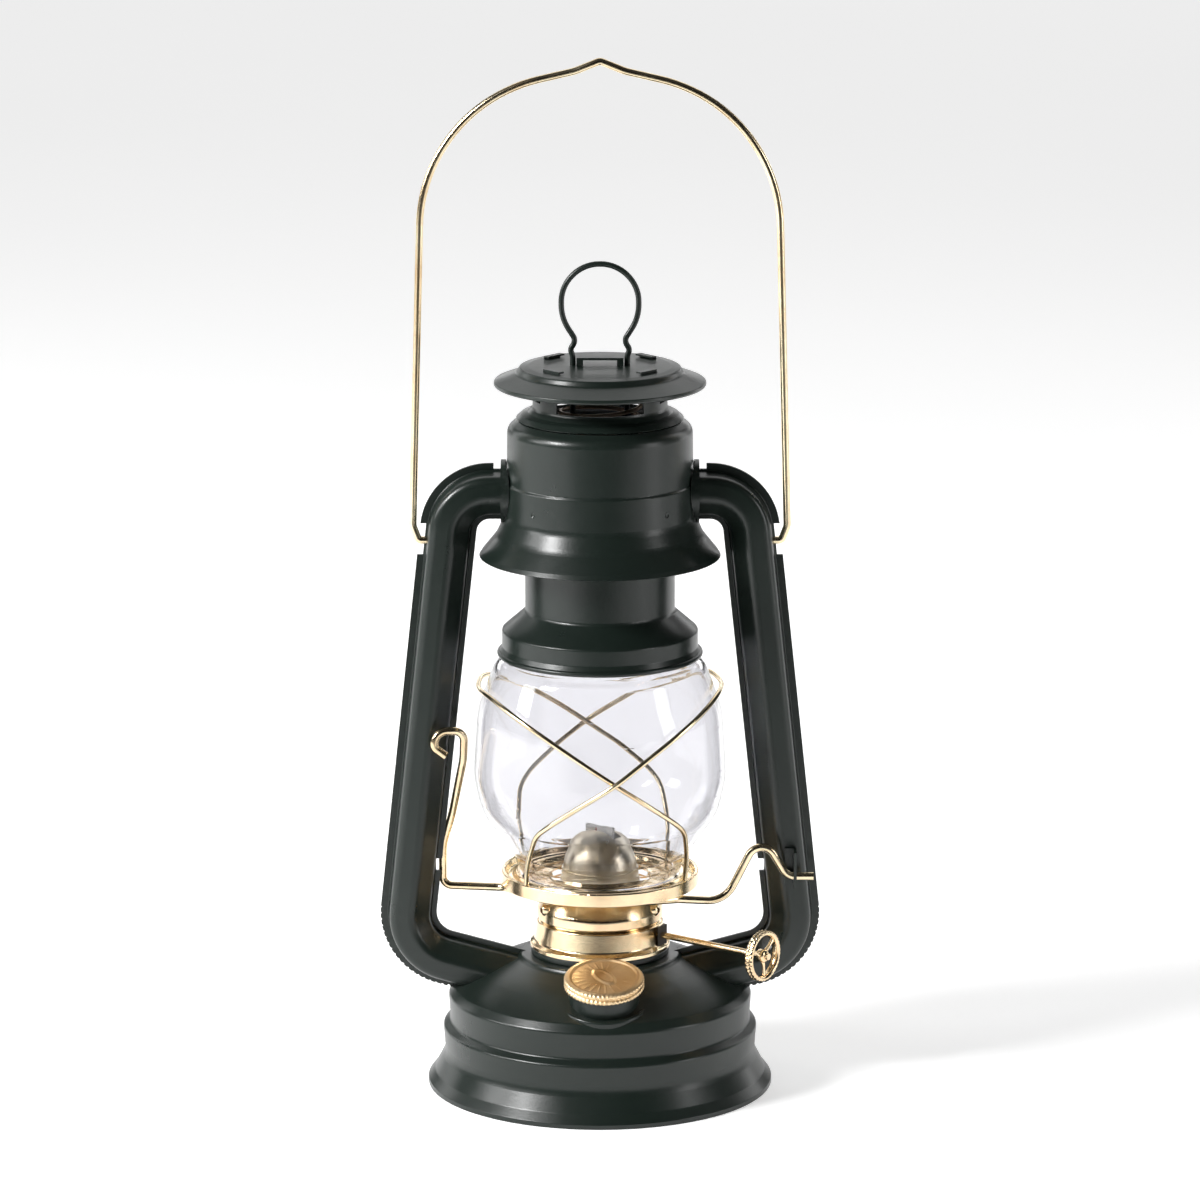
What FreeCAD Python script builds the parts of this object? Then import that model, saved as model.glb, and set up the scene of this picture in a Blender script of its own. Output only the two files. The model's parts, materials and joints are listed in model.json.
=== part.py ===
import FreeCAD, Part
import math
import os

# Barn lantern, millimetres, +Z up, origin at the centre of the base on the ground.
# The wick knob and the fuel cap face -Y, the thumb hook is on the -X side.

# ---------------------------------------------------------------- driving dimensions
LANTERN_HEIGHT = 254.0        # ground to the flat top of the hood (a ten-inch lantern)
BASE_RADIUS = 60.0            # rolled foot of the fuel tank
SHEET = 0.5                   # tinned sheet steel
THICK_SHEET = 0.8             # tank and plates
RUNNING_GAP = 0.06            # radial play of a wire in its hole

TUBE_WIDTH = 19.5             # side tube across its two seam flanges
TUBE_HALF_DEPTH = 10.0
TUBE_TOP_Z = 210.3            # centre line where the tube meets the canopy
TUBE_UPPER_BEND = 14.3
TUBE_LOWER_BEND = 17.0
TUBE_UPPER_CORNER = (-50.7, TUBE_TOP_Z)
TUBE_LOWER_CORNER = (-68.1, 47.8)
TUBE_END = (-24.0, 35.9)
NOTCH_Z = 77.6                # catch notch in the inner seam flange
NOTCH_HEIGHT = 4.3

BAIL_PIVOT_Z = 193.0
BAIL_WIRE = 1.3               # radius
BAIL_TOP_Z = 360.0 - BAIL_WIRE
BAIL_ARCH = 53.0              # radius of the arch
RING_WIRE = 0.98
RING_RADIUS = 13.2
RING_CENTRE_Z = 276.0
RING_LEG_X = 9.3
LIFT_WIRE = 1.4
GUARD_WIRE = 0.85
GUARD_BOWS = ((1, 47.7), (-1, 45.1))   # side of the front foot, distance at the crossing
SPRING_WIRE = 0.8
SPRING_RADIUS = 14.0
SPRING_TURNS = 7

NECK_SHELL = 22.4             # radius of the vent neck under the hood
TAB_WIDTH = 8.0               # tabs of the neck, bent over the hood
TAB_ANGLES = (48, -48, 132, -132)

CHIMNEY_RADIUS = 25.8
CHIMNEY_TOP_Z = 213.0
PLATE_RADIUS = 34.2
PLATE_HOLE = 17.0
PLATE_Z = 73.8                # upper side of the dish

EAR_X = 67.4                  # slotted ear on the right tube, pivot of the lift wire
EAR_Y = -13.5
EAR_Z = 77.0

WICK_ANGLE = -36.8            # direction of the wick shaft about +Z, from +X
WICK_SHAFT_Z = 54.6
WICK_SHAFT_OFFSET = 5.5
WICK_SHAFT = 1.15             # radius
WICK_WIDTH = 12.1
WICK_THICKNESS = 2.0
WICK_TUBE_GAP = 0.3
SPROCKET_RADIUS = 4.0
KNOB_RADIUS = 8.8
KNOB_DISTANCE = 65.6          # along the shaft from the lantern's axis
KNOB_SPOKES = 3

CAP_TILT = 13.0               # filler neck leans forward
CAP_X = 1.4
CAP_FOOT = (CAP_X, -36.8, 37.8)
CAP_RADIUS = 13.9
NECK_RADIUS = 12.2
NECK_TOP = 8.4                # above the foot, along the neck

X_AXIS = FreeCAD.Vector(1, 0, 0)
Y_AXIS = FreeCAD.Vector(0, 1, 0)
Z_AXIS = FreeCAD.Vector(0, 0, 1)
ORIGIN = FreeCAD.Vector(0, 0, 0)


# ---------------------------------------------------------------- path and solid helpers
def vec(x, y, z):
    return FreeCAD.Vector(x, y, z)


def rounded_edges(points, closed=False):
    """Straight edges through points (vector, radius), each corner rounded by a tangent arc."""
    count = len(points)
    starts, ends = [], []
    for index, (corner, radius) in enumerate(points):
        inner = closed or 0 < index < count - 1
        if not inner or radius <= 0:
            starts.append(corner)
            ends.append(corner)
            continue
        before = (points[index - 1][0] - corner).normalize()
        after = (points[(index + 1) % count][0] - corner).normalize()
        half = before.getAngle(after) / 2
        reach = radius / math.tan(half)
        starts.append(corner + before * reach)
        ends.append(corner + after * reach)
    edges = []
    for index, (corner, radius) in enumerate(points):
        if (starts[index] - ends[index]).Length > 1e-6:
            towards = ((starts[index] + ends[index]) * 0.5 - corner).normalize()
            half = (starts[index] - corner).getAngle(towards)
            middle = corner + towards * (radius / math.sin(half) - radius)
            edges.append(Part.Arc(starts[index], middle, ends[index]).toShape())
        last = index == count - 1
        if last and not closed:
            continue
        following = starts[(index + 1) % count]
        if (following - ends[index]).Length > 1e-6:
            edges.append(Part.LineSegment(ends[index], following).toShape())
    return edges


def smooth_points(points, share=0.46):
    """Gives each inner corner the largest arc that its two runs allow."""
    result = []
    for index, corner in enumerate(points):
        if index in (0, len(points) - 1):
            result.append((corner, 0))
            continue
        before = points[index - 1] - corner
        after = points[index + 1] - corner
        half = before.getAngle(after) / 2
        result.append((corner, share * min(before.Length, after.Length) * math.tan(half)))
    return result


def rod(points, radius):
    """A round wire that follows points (vector, corner radius)."""
    path = Part.Wire(rounded_edges(points))
    start = points[0][0]
    direction = points[1][0] - start
    ring = Part.Wire([Part.Circle(start, direction, radius).toShape()])
    return path.makePipeShell([ring], True, False)


def offset_outline(points, thickness):
    """Moves an open outline (u, v, radius) to its left by thickness, with mitred corners."""
    moved = []
    count = len(points)
    for index, (u, v, radius) in enumerate(points):
        normals = []
        directions = []
        for first in (index - 1, index):
            if first < 0 or first + 1 >= count:
                continue
            du = points[first + 1][0] - points[first][0]
            dv = points[first + 1][1] - points[first][1]
            length = math.hypot(du, dv)
            directions.append((du / length, dv / length))
            normals.append((-dv / length, du / length))
        if len(normals) == 1:
            shift = normals[0]
            moved.append((u + shift[0] * thickness, v + shift[1] * thickness, 0))
            continue
        (nu, nv), (mu, mv) = normals
        scale = thickness / (1 + nu * mu + nv * mv)
        turn = directions[0][0] * directions[1][1] - directions[0][1] * directions[1][0]
        new_radius = radius - thickness if turn > 0 else radius + thickness
        moved.append((u + (nu + mu) * scale, v + (nv + mv) * scale, max(new_radius, 0)))
    return moved


def outline_wire(outline, place):
    """Closed wire from (u, v, radius) corners; place turns (u, v) into a vector."""
    corners = [(place(u, v), radius) for u, v, radius in outline]
    return Part.Wire(rounded_edges(corners, closed=True))


def in_section(u, v):
    return vec(u, 0, v)


def turned(outline):
    """Solid of revolution about Z of a closed outline (r, z, corner radius)."""
    return Part.Face(outline_wire(outline, in_section)).revolve(ORIGIN, Z_AXIS, 360)


def turned_wall(outline, thickness):
    """Thin sheet of revolution: the outline and its copy moved to the left."""
    inside = offset_outline(outline, thickness)
    return turned(list(outline) + inside[::-1])


def ring(inner, outer, low, high):
    return turned([(inner, low, 0), (outer, low, 0), (outer, high, 0), (inner, high, 0)])


def cylinder(radius, length, base, direction):
    return Part.makeCylinder(radius, length, base, direction)


def box(low, high):
    return Part.makeBox(high[0] - low[0], high[1] - low[1], high[2] - low[2], vec(*low))


def mirror_x(shape):
    return shape.mirror(ORIGIN, X_AXIS)


def around(shape, angles):
    """Copies of a shape turned about Z."""
    copies = []
    for angle in angles:
        copy = shape.copy()
        copy.rotate(ORIGIN, Z_AXIS, angle)
        copies.append(copy)
    return copies


# ---------------------------------------------------------------- fuel tank
def tank_outline():
    """Outside of the tank, from the foot up to the burner collar."""
    return [
        (BASE_RADIUS, 0.0, 0), (BASE_RADIUS, 1.6, 0.4), (57.6, 4.6, 2.0), (54.0, 11.5, 7.0),
        (54.7, 20.6, 1.2), (52.2, 22.6, 1.2), (52.8, 31.8, 1.6), (50.6, 34.6, 1.5),
        (38.0, 41.6, 40.0), (28.4, 45.0, 2.0), (27.6, 46.4, 0.8), (23.4, 46.6, 0),
    ]


def tank_envelope():
    outline = tank_outline() + [(0, 46.6, 0), (0, 0, 0)]
    return turned(outline)


def leaning(shape):
    """Puts a shape made about Z at the origin onto the leaning filler axis."""
    shape = shape.copy()
    shape.rotate(ORIGIN, X_AXIS, CAP_TILT)
    shape.translate(vec(*CAP_FOOT))
    return shape


def make_tank_shell():
    shell = turned_wall(tank_outline(), THICK_SHEET)
    foot = ring(BASE_RADIUS - 2.8, BASE_RADIUS - THICK_SHEET / 2, 0, 1.0)
    return shell.fuse(foot).cut(leaning(cylinder(NECK_RADIUS, 30, vec(0, 0, -15), Z_AXIS)))


def make_tank_bottom():
    radius = 54.0 - THICK_SHEET - 0.1
    pan = [(0, 6.0, 0), (38, 6.0, 3), (44, 4.0, 3), (radius - 1.0, 4.0, 1.0), (radius - 0.4, 10.5, 0)]
    return turned_wall(pan, THICK_SHEET)


def make_filler_neck():
    wall = 1.0
    neck = turned([
        (NECK_RADIUS - wall, -7.5, 0), (NECK_RADIUS - 0.02, -7.5, 0),
        (NECK_RADIUS - 0.02, NECK_TOP, 0.3), (NECK_RADIUS - wall, NECK_TOP, 0.3),
    ])
    return leaning(neck)


def make_filler_shoulder():
    """Pressed ring around the foot of the filler neck, trimmed to the tank's dome."""
    bead = turned([
        (NECK_RADIUS + 0.05, -9.0, 0), (15.4, -9.0, 0), (15.4, 0.6, 1.0), (14.6, 1.6, 0.8),
        (13.4, 0.4, 0.6), (NECK_RADIUS + 0.05, 0.0, 0),
    ])
    return leaning(bead).cut(tank_envelope())


def make_burner_collar():
    return turned([
        (18.0, 44.0, 0), (22.6, 44.0, 0), (22.6, 46.65, 0), (24.0, 46.65, 0.4), (24.0, 48.8, 0.4),
        (18.0, 48.8, 0),
    ])


def make_fuel_cap():
    """Screw cap: flanged skirt with a bead at each edge and a shallow raised border on top."""
    top = 11.0
    cap = turned([
        (NECK_RADIUS + 0.08, 6.9, 0), (CAP_RADIUS, 6.9, 0.5), (CAP_RADIUS, 8.0, 0.5), (13.3, 8.3, 0),
        (13.3, 9.1, 0), (CAP_RADIUS, 9.4, 0.5), (CAP_RADIUS, 10.5, 0.5), (12.6, top, 0.4),
        (11.9, top, 0.2), (11.6, top - 0.5, 0.2), (0, top - 0.3, 0), (0, 9.4, 0),
        (NECK_RADIUS + 0.08, 9.4, 0),
    ])
    return leaning(cap)


def make_cap_gasket():
    return leaning(ring(4.0, NECK_RADIUS - 0.2, NECK_TOP + 0.1, 9.3))


# ---------------------------------------------------------------- side tubes
def tube_outline():
    """Outside of one pressed half tube: u runs inward from the outer flange edge, v is depth."""
    return [
        (0, SHEET, 0), (2.7, SHEET, 0.5), (3.5, 9.0, 3.0), (11.4, TUBE_HALF_DEPTH, 4.0),
        (17.2, 4.4, 3.0), (17.5, SHEET, 0.5), (TUBE_WIDTH, SHEET, 0),
    ]


def tube_sweep(outline):
    """Sweeps a closed section (u, depth) down the left tube's centre line."""
    start_x = -24.0
    path_points = [
        (vec(start_x, 0, TUBE_TOP_Z), 0),
        (vec(TUBE_UPPER_CORNER[0], 0, TUBE_UPPER_CORNER[1]), TUBE_UPPER_BEND),
        (vec(TUBE_LOWER_CORNER[0], 0, TUBE_LOWER_CORNER[1]), TUBE_LOWER_BEND),
        (vec(TUBE_END[0], 0, TUBE_END[1]), 0),
    ]

    def place(u, v):
        return vec(start_x, -v, TUBE_TOP_Z + TUBE_WIDTH / 2 - u)

    shell = Part.BRepOffsetAPI.MakePipeShell(Part.Wire(rounded_edges(path_points)))
    shell.setBiNormalMode(Y_AXIS)
    shell.add(outline_wire(outline, place))
    shell.build()
    shell.makeSolid()
    return shell.shape()


def canopy_envelope():
    return turned([
        (0, 184, 0), (42, 184, 0), (33.5, 200.5, 0), (32.7, 213.5, 0), (32.4, 226, 0), (0, 226, 0),
    ])


def crimp_teeth():
    """Small cuts that the crimping rolls leave in the outer flange round the lower bend."""
    corner = vec(TUBE_LOWER_CORNER[0], 0, TUBE_LOWER_CORNER[1])
    upward = (vec(TUBE_UPPER_CORNER[0], 0, TUBE_UPPER_CORNER[1]) - corner).normalize()
    inward = (vec(TUBE_END[0], 0, TUBE_END[1]) - corner).normalize()
    half = upward.getAngle(inward) / 2
    centre = corner + (upward + inward).normalize() * (TUBE_LOWER_BEND / math.sin(half))
    reach = TUBE_LOWER_BEND + TUBE_WIDTH / 2 + 0.25
    count, first, last = 20, 176.0, 268.0
    cuts = []
    for index in range(count):
        angle = math.radians(first + (last - first) * index / (count - 1))
        place = centre + vec(math.cos(angle), 0, math.sin(angle)) * reach
        cuts.append(cylinder(0.55, 6, place - Y_AXIS * 3, Y_AXIS))
    return Part.makeCompound(cuts)


def make_tube_half():
    """Front half of the left tube, trimmed to the canopy and the tank."""
    outline = tube_outline()
    inside = offset_outline(outline, -SHEET)
    half = tube_sweep(outline + inside[::-1])
    strip = tube_sweep([(-1.0, -1.0, 0), (2.0, -1.0, 0), (2.0, 2.0, 0), (-1.0, 2.0, 0)])
    free_edge = strip.common(box((-70, -5, BAIL_PIVOT_Z - 5), (-50, 5, BAIL_PIVOT_Z + 6)))
    gap_at_canopy = strip.common(box((-36.5, -5, 205), (-20, 5, 225)))
    notch = box((-57.0, -5, NOTCH_Z - NOTCH_HEIGHT / 2), (-52.0, 5, NOTCH_Z + NOTCH_HEIGHT / 2))
    pivot_hole = cylinder(BAIL_WIRE + RUNNING_GAP, 12, vec(-64, 0, BAIL_PIVOT_Z), X_AXIS)
    neighbours = (canopy_envelope(), tank_envelope())
    for cutter in (free_edge, gap_at_canopy, notch, pivot_hole, crimp_teeth(), *neighbours):
        half = half.cut(cutter)
    return half


def make_tube_collar():
    """Solder collar round the left tube's mouth, shaped to the canopy."""
    sleeve = cylinder(10.9, 12, vec(-34.0, 0, TUBE_TOP_Z), X_AXIS)
    sleeve = sleeve.cut(cylinder(10.3, 14, vec(-35, 0, TUBE_TOP_Z), X_AXIS))
    return sleeve.cut(canopy_envelope())


# ---------------------------------------------------------------- canopy, vent and hood
def make_canopy():
    outline = [
        (41.5, 188.0, 0), (40.6, 189.4, 0.8), (35.6, 195.6, 9.0), (33.0, 201.5, 6.0), (32.5, 213.4, 0.6),
        (32.0, 214.2, 0.6), (31.8, 232.9, 3.8), (28.2, 235.4, 0),
    ]
    canopy = turned_wall(outline, SHEET)
    canopy = canopy.cut(cylinder(8.6, 90, vec(-45, 0, TUBE_TOP_Z), X_AXIS))
    dimple = Part.makeSphere(1.5, vec(33.9, 0, 206.8))
    for copy in around(dimple, (46, 134, -46, -134)):
        canopy = canopy.cut(copy)
    return canopy


def make_vent_collar():
    """Flared neck between canopy and hood, with four windows and four tabs bent over the hood."""
    outline = [
        (28.7, 236.1, 0), (27.0, 237.6, 1.0), (24.8, 238.2, 0.8), (23.2, 239.9, 1.6), (NECK_SHELL, 253.3, 0),
    ]
    neck = turned_wall(outline, SHEET)
    for middle, width, low, high in ((-90, 80, 240.6, 247.2), (90, 80, 240.6, 247.2),
                                     (0, 56, 242.6, 246.2), (180, 56, 242.6, 246.2)):
        window = Part.makeCylinder(30, high - low, vec(0, 0, low), Z_AXIS, width)
        window.rotate(ORIGIN, Z_AXIS, middle - width / 2)
        neck = neck.cut(window)
    inner = SHEET - NECK_SHELL
    stem = box((-TAB_WIDTH / 2, inner - SHEET, 252.6), (TAB_WIDTH / 2, inner, LANTERN_HEIGHT + 1.1))
    fold = box((-TAB_WIDTH / 2, inner, LANTERN_HEIGHT + 0.5),
               (TAB_WIDTH / 2, inner + 1.8, LANTERN_HEIGHT + 1.1))
    for tab in around(stem.fuse(fold), TAB_ANGLES):
        neck = neck.fuse(tab)
    return neck


def make_hood():
    outline = [
        (36.3, 247.8, 0), (36.3, 248.8, 0.5), (28.7, 251.7, 1.5), (27.6, LANTERN_HEIGHT - 0.3, 0.9),
        (24.4, LANTERN_HEIGHT, 3.0), (0, LANTERN_HEIGHT + 0.3, 0),
    ]
    inside = offset_outline(outline[:-1], SHEET)
    hood = turned(outline + [(0, LANTERN_HEIGHT + 0.3 - SHEET, 0)] + inside[::-1])
    rolled = Part.makeTorus(35.6, 0.75, vec(0, 0, 248.0), Z_AXIS)
    hood = hood.fuse(rolled)
    slot = box((-TAB_WIDTH / 2 - 0.2, -NECK_SHELL - 0.2, 250), (TAB_WIDTH / 2 + 0.2, 0.8 - NECK_SHELL, 257))
    for copy in around(slot, TAB_ANGLES):
        hood = hood.cut(copy)
    for side in (-1, 1):
        hood = hood.cut(cylinder(RING_WIRE + RUNNING_GAP, 10, vec(side * RING_LEG_X, 0, 249), Z_AXIS))
    return hood


def make_ring_bridge():
    """Small bent strap on the hood between the two legs of the lift ring."""
    length, width, height, foot = 16.0, 5.0, 2.8, 2.2
    low = LANTERN_HEIGHT + 0.32
    strap = box((-length / 2, -width / 2, low), (length / 2, width / 2, low + height))
    hollow = box((-length / 2 + foot, -width, low - 1), (length / 2 - foot, width, low + height - 0.8))
    return strap.cut(hollow)


def make_return_spring():
    low = CHIMNEY_TOP_Z + 2.2 + SPRING_WIRE
    high = 251.0 - SPRING_WIRE
    steps = 10                    # corners in each turn
    corner_radius = SPRING_RADIUS / math.cos(math.pi / steps)
    corners = []
    for index in range(SPRING_TURNS * steps + 1):
        turn = 2 * math.pi * index / steps
        height = low + (high - low) * index / (SPRING_TURNS * steps)
        corners.append(vec(corner_radius * math.cos(turn), corner_radius * math.sin(turn), height))
    return rod(smooth_points(corners), SPRING_WIRE)


# ---------------------------------------------------------------- chimney and lift ring
def make_chimney():
    outline = [
        (33.6, 152.6, 0), (34.9, 153.6, 0.6), (33.8, 156.2, 0.8), (33.8, 161.8, 1.0),
        (CHIMNEY_RADIUS, 168.8, 1.4), (CHIMNEY_RADIUS, CHIMNEY_TOP_Z, 0),
    ]
    tube = turned_wall(outline, SHEET)
    bead = Part.makeTorus(34.6, 0.9, vec(0, 0, 153.6), Z_AXIS)
    return tube.fuse(bead)


def make_ring_crossbar():
    """Strap across the chimney's mouth that carries the lift ring and the spring."""
    half = CHIMNEY_RADIUS - SHEET - 0.05
    low = CHIMNEY_TOP_Z
    strap = box((-half, -4, low - 4), (half, 4, low + 1.4))
    strap = strap.common(cylinder(half, 20, vec(0, 0, low - 8), Z_AXIS))
    strap = strap.cut(box((-half + 1.2, -5, low - 5), (half - 1.2, 5, low + 0.2)))
    seat = ring(11.5, 16.5, low + 1.4, low + 2.1)
    strap = strap.fuse(seat)
    for side in (-1, 1):
        strap = strap.cut(cylinder(RING_WIRE + 0.01, 8, vec(side * RING_LEG_X, 0, low - 2), Z_AXIS))
    return strap


def make_lift_ring():
    corner = RING_RADIUS / math.cos(math.radians(22.5))
    loop = []
    for angle in (-22.5, 22.5, 67.5, 112.5, 157.5, 202.5):
        turn = math.radians(angle)
        loop.append(vec(corner * math.cos(turn), 0, RING_CENTRE_Z + corner * math.sin(turn)))
    leg = [(RING_LEG_X, CHIMNEY_TOP_Z - 1.5), (RING_LEG_X, 257.6), (10.2, 259.6), (8.2, 262.8)]
    right = [vec(x, 0, z) for x, z in leg]
    left = [vec(-x, 0, z) for x, z in leg[::-1]]
    return rod(smooth_points(right + loop + left, 0.49), RING_WIRE)


# ---------------------------------------------------------------- globe, plate and guard
def make_globe():
    outline = [
        (28.0, 75.6, 0), (28.4, 79.0, 2.5), (31.0, 83.4, 5.0), (41.2, 97.6, 20.0), (44.0, 110.0, 30.0),
        (42.4, 134.0, 30.0), (36.4, 149.6, 6.0), (32.3, 152.4, 3.0), (32.2, 158.5, 0),
    ]
    return turned_wall(outline, 1.6)


def make_globe_plate():
    outline = [
        (PLATE_HOLE, PLATE_Z + 1.4, 0), (PLATE_HOLE + 0.8, PLATE_Z, 0.6), (23.8, PLATE_Z, 0.8),
        (24.8, 75.55, 0.5),
        (29.2, 75.55, 0.5), (30.2, PLATE_Z, 0.8), (32.0, PLATE_Z, 0.8), (32.9, 76.2, 0.5),
        (PLATE_RADIUS, 76.0, 0.5), (PLATE_RADIUS, 71.6, 0),
    ]
    plate = turned_wall(outline, -SHEET)
    bead = Part.makeTorus(PLATE_RADIUS - 0.75, 0.72, vec(0, 0, 72.3), Z_AXIS)
    plate = plate.fuse(bead)
    hole_count = 24
    for radius, size in ((19.6, 0.8), (22.0, 0.8)):
        hole = cylinder(size, 6, vec(radius, 0, PLATE_Z - 3), Z_AXIS)
        plate = plate.cut(Part.makeCompound(around(hole, [360 / hole_count * k for k in range(hole_count)])))
    for side, crossing in GUARD_BOWS:
        plate = plate.cut(make_guard_wire(side, crossing, GUARD_WIRE + 0.04))
    return plate


def make_guard_wire(side, crossing, radius=GUARD_WIRE):
    """One closed bow of the guard: from the front foot round the far side to the rear foot."""
    stations = [
        (-57.5, 32.7, PLATE_Z + 0.05), (-54, 34.0, 79.5), (-47, 37.4, 86.8), (-37, 42.6, 97.4),
        (-29, 44.6, 102.0),
        (-15, 45.4, 109.6), (0, crossing, 117.6), (13, 45.4, 124.6), (27, 45.2, 131.4), (41, 44.8, 136.8),
        (55, 43.8, 140.6), (70, 42.6, 142.3), (84, 42.1, 142.0), (90, 42.1, 141.7),
    ]
    front = []
    for azimuth, distance, height in stations:
        turn = math.radians(azimuth * side)
        front.append(vec(distance * math.sin(turn), -distance * math.cos(turn), height))
    rear = [vec(point.x, -point.y, point.z) for point in front[-2::-1]]
    bow = rod(smooth_points(front + rear), radius)
    bow.rotate(ORIGIN, Z_AXIS, 6)
    return bow


# ---------------------------------------------------------------- lift wire and its ear
def make_lift_wire():
    hook = [
        (-53.2, -11.8, 119.4, 0), (-57.2, -12.4, 122.6, 2.6), (-56.6, -12.2, 128.2, 4.2),
        (-46.8, -10.2, 128.0, 4.2),
    ]
    arm = [
        (-47.2, -6.6, 117.0, 25), (-51.4, 2.4, 95.0, 20), (-54.7, 3.0, 84.0, 20), (-54.8, 3.0, 69.2, 3.2),
    ]
    crossing = [
        (-33.0, 0.0, 69.2, 6), (-28.6, -9.0, 70.0, 5), (-17.5, -24.6, 71.2, 7), (12.0, -26.6, 71.2, 7),
        (27.0, -17.4, 69.8, 8),
    ]
    hump = [
        (43.2, -14.2, 68.2, 9), (55.4, -14.2, 92.8, 4.9), (64.7, -13.6, EAR_Z, 4.5),
        (73.8, EAR_Y, EAR_Z, 0),
    ]
    corners = hook + arm + crossing + hump
    return rod([(vec(x, y, z), radius) for x, y, z, radius in corners], LIFT_WIRE)


def make_lift_wire_ear():
    """Slotted lug on the face of the right tube, pivot of the lift wire."""
    lug = box((EAR_X - 0.5, -17.6, EAR_Z - 3.4), (EAR_X + 0.5, -TUBE_HALF_DEPTH - 0.05, EAR_Z + 9.2))
    foot = box((EAR_X - 3.4, -11.0, EAR_Z - 3.4), (EAR_X + 0.5, -TUBE_HALF_DEPTH - 0.05, EAR_Z + 9.2))
    width = LIFT_WIRE + 0.2
    slot = box((EAR_X - 2, EAR_Y - width, EAR_Z), (EAR_X + 2, EAR_Y + width, EAR_Z + 6.5))
    hole = cylinder(width, 4, vec(EAR_X - 2, EAR_Y, EAR_Z), X_AXIS)
    return lug.fuse(foot).cut(slot).cut(hole)


# ---------------------------------------------------------------- bail
def make_bail():
    """Leaning arms, a round arch and a small peak, with the ends bent in as pivots."""
    arm = (64.3, 199.5)           # foot of the leaning arm
    arm_lean = 0.0284
    shoulder = (15.2, 353.7)      # point on the line between arch and peak
    shoulder_rise = 0.231
    peak_foot_x = 8.6
    # corner where the arm's line and the shoulder's line meet
    reach = arm[0] + arm_lean * (arm[1] - shoulder[1]) - shoulder[0]
    corner_z = shoulder[1] - shoulder_rise * reach / (1 - shoulder_rise * arm_lean)
    corner_x = arm[0] - arm_lean * (corner_z - arm[1])
    peak_foot_z = shoulder[1] + shoulder_rise * (shoulder[0] - peak_foot_x)
    half = [
        (vec(-54.5, 0, BAIL_PIVOT_Z), 0), (vec(-62.4, 0, BAIL_PIVOT_Z), 1.6),
        (vec(-arm[0], 0, arm[1] - 1.5), 4.0), (vec(-corner_x, 0, corner_z), BAIL_ARCH),
        (vec(-peak_foot_x, 0, peak_foot_z), 16.0),
    ]
    other = [(vec(-point.x, 0, point.z), radius) for point, radius in half[::-1]]
    return rod(half + [(vec(0, 0, BAIL_TOP_Z), 2.2)] + other, BAIL_WIRE)


# ---------------------------------------------------------------- burner and wick
def along_wick(shape):
    """Turns a shape made along +X onto the direction of the wick shaft."""
    shape = shape.copy()
    shape.rotate(ORIGIN, Z_AXIS, WICK_ANGLE)
    return shape


def make_burner_base():
    outline = [
        (24.3, 49.0, 0), (24.3, 50.2, 0.5), (22.7, 51.4, 1.0), (21.9, 57.9, 0.6), (20.9, 58.5, 0),
    ]
    shell = turned_wall(outline, SHEET)
    hole = cylinder(WICK_SHAFT + 0.9, 20, vec(15, WICK_SHAFT_OFFSET, WICK_SHAFT_Z), X_AXIS)
    return shell.cut(along_wick(hole))


def make_burner_gallery():
    """Upper shell with four pressed key shapes and a flat top that carries the cone."""
    outline = [
        (21.2, 58.55, 0), (21.8, 59.4, 0.6), (21.8, 62.4, 3.0), (19.6, 67.6, 4.0), (19.3, 71.0, 0.8),
        (12.4, 71.2, 0),
    ]
    shell = turned_wall(outline, SHEET)
    boss = Part.makeSphere(2.6, vec(0, -20.2, 63.6)).fuse(cylinder(1.5, 2.6, vec(0, -20.0, 65.5), Z_AXIS))
    boss = boss.cut(Part.makeSphere(2.1, vec(0, -20.2, 63.6))).cut(turned([
        (0, 58, 0), (21.2, 58, 0), (21.2, 62.4, 3.0), (19.2, 67.6, 4.0), (18.8, 72, 0), (0, 72, 0),
    ]))
    hole = cylinder(1.0, 8, vec(0, -25, 63.6), Y_AXIS)
    for copy in around(boss, (64, -64, 116, -116)):
        shell = shell.fuse(copy)
    for copy in around(hole, (64, -64, 116, -116)):
        shell = shell.cut(copy)
    return shell


def make_air_deck():
    deck = ring(0, 18.6, 66.0, 66.5).cut(wick_slot(60, 70, 1.05))
    count = 20
    for radius in (12.5, 15.8):
        hole = cylinder(0.9, 6, vec(radius, 0, 63), Z_AXIS)
        deck = deck.cut(Part.makeCompound(around(hole, [360 / count * k for k in range(count)])))
    return deck


def wick_slot(low, high, extra):
    """Block round the wick, from low to high, wider than the wick tube's bore by extra."""
    half_width = WICK_WIDTH / 2 + WICK_TUBE_GAP + extra
    half_depth = WICK_THICKNESS / 2 + WICK_TUBE_GAP + extra
    return along_wick(box((-half_width, -half_depth, low), (half_width, half_depth, high)))


def make_wick_tube():
    wall = 0.5
    tube = wick_slot(46.5, 86.0, wall).cut(wick_slot(40, 90, 0))
    window = box((-4.6, 0, WICK_SHAFT_Z - 4.4), (4.6, 4, WICK_SHAFT_Z + 4.4))
    return tube.cut(along_wick(window))


def make_wick():
    half_width = WICK_WIDTH / 2
    half_depth = WICK_THICKNESS / 2
    return along_wick(box((-half_width, -half_depth, 16.0), (half_width, half_depth, 91.8)))


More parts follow.
